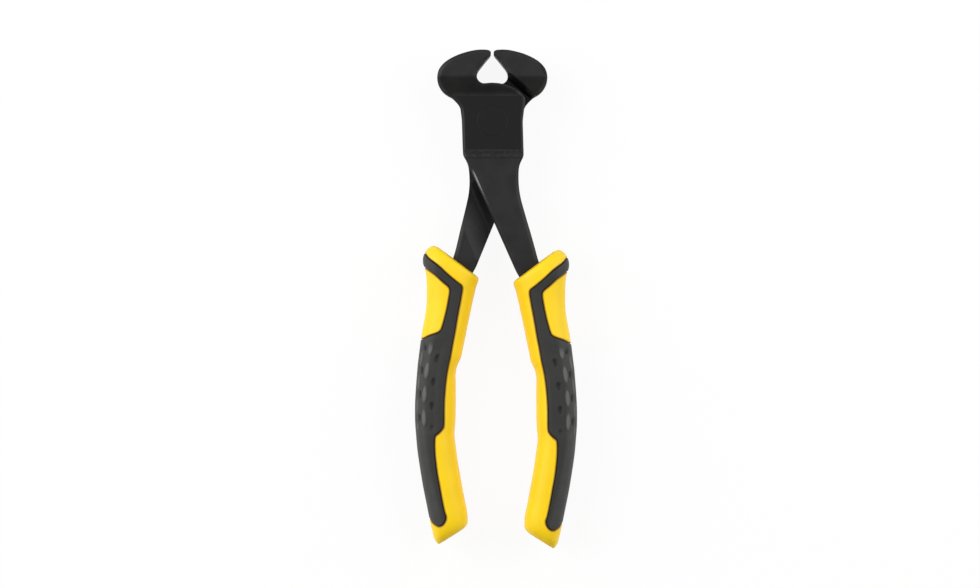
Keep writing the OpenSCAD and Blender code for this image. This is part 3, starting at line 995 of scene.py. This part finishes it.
def sleeve_body(sleeve):
    """The closed outer shape of a sleeve, with its fields stored on the vertices."""
    rows = sleeve_rows(sleeve)
    count = sleeve.around
    bm = bmesh.new()
    half = 0.5
    bmesh.ops.create_grid(bm, x_segments=len(rows) - 1, y_segments=count, size=half)
    around = bm.verts.layers.float.new("around")
    along = bm.verts.layers.float.new("along")
    rings = [section_ring(row, count, sleeve.squareness) for row in rows]
    for v in bm.verts:
        i = round((v.co.x + half) * (len(rows) - 1))
        j = round((v.co.y + half) * count) % count
        places, travel = rings[i]
        v.co = places[j]
        v[around] = travel[j]
        v[along] = rows[i][6]
    bmesh.ops.remove_doubles(bm, verts=bm.verts, dist=WELD)
    bmesh.ops.recalc_face_normals(bm, faces=bm.faces)
    return bm


def store_border(bm, sleeve):
    """Stores each vertex's distance inside the cover's edge, below 0 outside it."""
    edge = sleeve_point(sleeve, rail(COVER_SHARES, steps=5)) * (1, -1)
    places = positions(bm.verts)
    gap, nearest = outline_distance(places, edge)
    run = (np.roll(edge, -1, axis=0) - edge)[nearest]
    toward = [Vector((-y, x, 0)).normalized() for x, y in run]
    bm.normal_update()
    gap = surface_distance(bm, gap, toward)
    gap[~inside(places, edge)] *= -1
    border = bm.verts.layers.float.new("border")
    for v, value in zip(bm.verts, gap):
        v[border] = value
    return border


def lip_depth(sleeve, border):
    """How far the surface falls towards the groove at a distance from the cover's edge."""
    t = min(max((abs(border) - sleeve.groove / 2) / sleeve.lip_r, 0), 1)
    return sleeve.lip_r * (1 - math.sqrt(1 - (1 - t) ** 2))


def ovals(sideways, along, half_width, half_length, steep):
    """Oval bumps with a flat top, from 0 outside them to 1 on the top."""
    reach = np.hypot(sideways / half_width, along / half_length)
    return smooth(np.clip(steep * (1 - reach), 0, 1))


def relief(sleeve, around, down, border):
    """How far the cover's surface drops for its staggered pads and pits, and where a pad lies."""
    column = around / sleeve.pad_column
    first, first_run = FIRST_COLUMN
    last, last_run = LAST_COLUMN
    fade = rise(border, *RELIEF_EDGE)
    fade = fade * rise(down, sleeve.relief_top, sleeve.relief_fade)
    fade = fade * rise(-down, -sleeve.relief_end, sleeve.relief_fade)
    fade = fade * rise(column, first, first_run) * rise(-column, -last, last_run)
    pads = np.zeros(len(around))
    pits = np.zeros(len(around))
    for k in COLUMNS:
        shift = sleeve.pad_pitch / 2 * (k // 2 % 2)
        along = (down - sleeve.pad_first - shift) / sleeve.pad_pitch
        along = np.abs(along - np.round(along)) * 2
        if k % 2:
            pads += ovals(column - k, along, *PAD_SHAPE)
        else:
            pits += ovals(column - k * PIT_SPREAD - PIT_SHIFT, along, *PIT_SHAPE)
    drop = sleeve.pad_height * (1 - pads) + sleeve.pit_depth * pits
    return drop * fade, (pads - pits) * fade


def split_sleeve(sleeve):
    """The core and the cover of a sleeve as two closed meshes, in the sleeve's own frame."""
    bm = sleeve_body(sleeve)
    border = store_border(bm, sleeve)
    half_groove = sleeve.groove / 2
    lip_lines = (0, 0.12, 0.45, 1)
    sliver = 0.01 * MM
    for t in lip_lines:
        reach = half_groove + t * sleeve.lip_r
        for level in (-reach, reach):
            cut_at(bm, border, level, snap=0.004 * MM)
    bmesh.ops.dissolve_degenerate(bm, edges=bm.edges, dist=sliver)
    cut_planes(bm, Z, (-sleeve.seam_w, sleeve.seam_w))
    bm.normal_update()
    cover = bm.copy()
    return sleeve_core(bm, sleeve, half_groove), sleeve_cover(cover, sleeve, half_groove)


def region(bm, level):
    """Faces that lie further inside the cover's edge than level."""
    border = bm.verts.layers.float["border"]
    return [f for f in bm.faces if sum(v[border] for v in f.verts) / len(f.verts) > level]


def seam_lift(sleeve, co):
    """Height of the mould's seam at a place."""
    return sleeve.seam_h * max(0, 1 - abs(co.z) / sleeve.seam_w) - sleeve.seam_h


def sleeve_core(bm, sleeve, half_groove):
    """The hard core: the sleeve with a recess where the cover sits."""
    border = bm.verts.layers.float["border"]
    normals = {v: v.normal.copy() for v in bm.verts}
    faces = region(bm, -half_groove)
    edges = dict.fromkeys(e for f in faces for e in f.edges)
    sunk = set(extrude(bm, [*faces, *edges], keep=False))
    bm.normal_update()
    depth = sleeve.cover_thick + sleeve.bond
    for v in bm.verts:
        if v in sunk:
            v.co -= v.normal * depth
        else:
            v.co -= normals[v] * (lip_depth(sleeve, v[border]) - seam_lift(sleeve, v.co))
    return bm


def sleeve_cover(bm, sleeve, half_groove):
    """The soft cover: the skin over the recess, given its thickness."""
    border = bm.verts.layers.float["border"]
    around = bm.verts.layers.float["around"]
    proud = bm.verts.layers.float.new("proud")
    keep = set(region(bm, half_groove))
    bmesh.ops.delete(bm, geom=[f for f in bm.faces if f not in keep], context="FACES")
    skin = list(bm.verts)
    normals = [v.normal.copy() for v in skin]
    for v in extrude(bm, bm.faces, keep=True):
        v.co -= v.normal * sleeve.cover_thick
    fields = np.array([(v[around], -v.co.y, v[border]) for v in skin])
    for v, normal, drop, pad in zip(skin, normals, *relief(sleeve, *fields.T)):
        v[proud] = pad
        v.co -= normal * (lip_depth(sleeve, v[border]) + drop - seam_lift(sleeve, v.co))
    return bm


def sleeve_to_tool(bm, side, sleeve):
    """Moves a mesh from the sleeve's frame to its place on a lever."""
    turn_to_side(bm, side)
    bmesh.ops.translate(
        bm, verts=bm.verts, vec=(0, PIVOT.y - side * sleeve.stagger, PIVOT.z))


def tang_tool(name, sleeve):
    """A stretch of the lever's own tang, grown by the socket's clearance."""
    bm = bmesh.new()
    bm.from_mesh(bpy.data.objects[name + "_forging"].data)
    guard = PIVOT.y - sleeve.guard_drop
    above, below = 4 * MM, 8 * MM
    top = guard + above
    foot = guard - sleeve.socket_depth - below
    cut_off(bm, Y * top, Y)
    cut_off(bm, Y * foot, -Y)
    bmesh.ops.recalc_face_normals(bm, faces=bm.faces)
    bm.normal_update()
    grown = [(v, v.normal.copy()) for v in bm.verts]
    for v, normal in grown:
        v.co += normal * sleeve.socket_clear
    return bm


def mark_contact(core, tree, sleeve):
    """Stores how near each place of the guard's rim lies to the tang that enters it, for the shade
    painted there.
    """
    along = core.verts.layers.float["along"]
    contact = core.verts.layers.float.new("contact")
    for v in core.verts:
        gap = tree.find_nearest(v.co, sleeve.contact_far)[3]
        if gap is not None:
            near = min((sleeve.contact_far - gap) / sleeve.contact_fade, 1)
            v[contact] = near * max(1 - v[along] / sleeve.contact_fade, 0)


# Operators

class NIPPERS_OT_levers(bpy.types.Operator):
    """Build the two forged levers"""

    bl_idname = "nippers.levers"
    bl_label = "Levers"

    def execute(self, context):
        for name in SIDES:
            make_lever(name)
        return {"FINISHED"}


class NIPPERS_OT_rivet(bpy.types.Operator):
    """Build the rivet that joins the levers"""

    bl_idname = "nippers.rivet"
    bl_label = "Rivet"

    def execute(self, context):
        bm = rivet_shape(settings("steel"), grow=0, over=0)
        from_lever(bm, 1)
        shade(bm, STEEL_SHARP)
        material = finish_material("blackened_steel", blackened_steel, "steel")
        obj = add_piece(bm, "flush_rivet", "front_half", material, "pivot_rivet")
        faces = len(obj.data.polygons)
        store_field(obj, "ground", "FACE", np.ones(faces))
        for name in ("wear", "slope"):
            store_field(obj, name, "FACE", np.zeros(faces))
        return {"FINISHED"}


class NIPPERS_OT_sleeves(bpy.types.Operator):
    """Build the hard cores and soft covers of the two sleeves"""

    bl_idname = "nippers.sleeves"
    bl_label = "Sleeves"

    def execute(self, context):
        sleeve = settings("sleeve")
        parts = split_sleeve(sleeve)
        for name, side in SIDES.items():
            core, cover = (part.copy() for part in parts)
            sleeve_to_tool(core, side, sleeve)
            sleeve_to_tool(cover, side, sleeve)
            tang = tang_tool(name, sleeve)
            tree = BVHTree.FromBMesh(tang)
            core = carve(core, [tang])
            mark_contact(core, tree, sleeve)
            shade(core, CORE_SHARP)
            shade(cover, COVER_SHARP)
            add_piece(core, name + "_core", name + "_half",
                      finish_material("yellow_core", hard_plastic, "sleeve"),
                      name + "_grip_core")
            add_piece(cover, name + "_cover", name + "_half",
                      finish_material("soft_cover", soft_rubber, "sleeve"),
                      name + "_grip_cover")
        return {"FINISHED"}


class NIPPERS_OT_stage(bpy.types.Operator):
    """Set up the camera, the lamps, the surroundings and the floor"""

    bl_idname = "nippers.stage"
    bl_label = "Stage"

    def execute(self, context):
        stage = settings("stage")
        make_camera(stage)
        make_lamps(stage)
        make_world(stage)
        make_floor(stage)
        context.scene.view_settings.view_transform = "Standard"
        return {"FINISHED"}


def make_camera(stage):
    """A camera straight above the tool."""
    data = bpy.data.cameras.new("camera")
    data.lens = data.sensor_width * stage.distance / stage.field
    camera = bpy.data.objects.new("camera", data)
    camera.location = (stage.aim_x, stage.aim_y, PIVOT.z + stage.distance)
    bpy.context.scene.collection.objects.link(camera)
    bpy.context.scene.camera = camera


def add_lamp(name, way, power, stage):
    """A soft rectangular lamp that points at the tool."""
    data = bpy.data.lights.new(name, "AREA")
    data.shape = "RECTANGLE"
    data.size = stage.lamp_width
    data.size_y = stage.lamp_depth
    data.energy = power
    lamp = bpy.data.objects.new(name, data)
    away = Vector(way).normalized()
    lamp.location = away * stage.lamp_distance
    lamp.rotation_euler = away.to_track_quat("Z", "Y").to_euler()
    bpy.context.scene.collection.objects.link(lamp)


def make_lamps(stage):
    """A large soft lamp on each side of the tool."""
    for side, way in LAMP_WAYS.items():
        add_lamp(side + "_lamp", way, getattr(stage, side + "_power"), stage)


def make_world(stage):
    """Plain surroundings that light the tool softly and look white to the camera."""
    world = bpy.data.worlds.new("surroundings")
    world.use_nodes = True
    bpy.context.scene.world = world
    wire = Wire(world.node_tree)
    ray = wire.node("LightPath", out="Is Camera Ray")
    level = stage.sky + ray * (1 - stage.sky)
    background = world.node_tree.nodes["Background"]
    background.inputs["Color"].default_value = rgba((1, 1, 1))
    wire.tree.links.new(level.socket, background.inputs["Strength"])


def make_floor(stage):
    """A white floor that keeps a soft shadow."""
    bm = bmesh.new()
    bmesh.ops.create_grid(bm, x_segments=1, y_segments=1, size=stage.floor_size)
    floor = mesh_object(bm, "floor")
    material = bpy.data.materials.new("white_floor")
    material.use_nodes = True
    tree = material.node_tree
    tree.nodes.clear()
    wire = Wire(tree)
    matt = wire.node("BsdfDiffuse", feeds={"Color": rgba([stage.floor_tint] * 3)})
    glow = wire.node("Emission", feeds={"Color": rgba((1, 1, 1)), "Strength": 1.0})
    seen = wire.node("LightPath", out="Is Camera Ray")
    seen = seen + wire.node("LightPath", out="Is Glossy Ray")
    mixed = wire.node("MixShader", feeds={0: seen * stage.white, 1: matt, 2: glow})
    output = tree.nodes.new("ShaderNodeOutputMaterial")
    tree.links.new(mixed.socket, output.inputs["Surface"])
    floor.data.materials.append(material)


class NIPPERS_PT_panel(bpy.types.Panel):
    """Lists the steps that build the nippers"""

    bl_idname = "NIPPERS_PT_panel"
    bl_label = "End Cutting Nippers"
    bl_space_type = "VIEW_3D"
    bl_region_type = "UI"
    bl_category = "Nippers"

    def draw(self, context):
        for step in STEPS:
            self.layout.operator(step.bl_idname)
        for group in GROUPS:
            values = settings(group)
            box = self.layout.box()
            box.label(text=group.capitalize())
            for name in values.bl_rna.properties.keys():
                if name not in ("rna_type", "name"):
                    box.prop(values, name)


STEPS = (NIPPERS_OT_levers, NIPPERS_OT_rivet, NIPPERS_OT_sleeves, NIPPERS_OT_stage)
GROUPS = {"steel": SteelSettings, "sleeve": SleeveSettings, "stage": StageSettings}


def register():
    for cls in (*GROUPS.values(), *STEPS, NIPPERS_PT_panel):
        bpy.utils.register_class(cls)
    for group, cls in GROUPS.items():
        setattr(bpy.types.Scene, "nippers_" + group, bpy.props.PointerProperty(type=cls))


def unregister():
    for group in GROUPS:
        delattr(bpy.types.Scene, "nippers_" + group)
    for cls in (NIPPERS_PT_panel, *reversed(STEPS), *reversed(GROUPS.values())):
        bpy.utils.unregister_class(cls)


def main():
    """Builds the nippers and the stage."""
    register()
    bpy.ops.nippers.levers()
    bpy.ops.nippers.rivet()
    bpy.ops.nippers.sleeves()
    bpy.ops.nippers.stage()


if __name__ == "__main__":
    main()
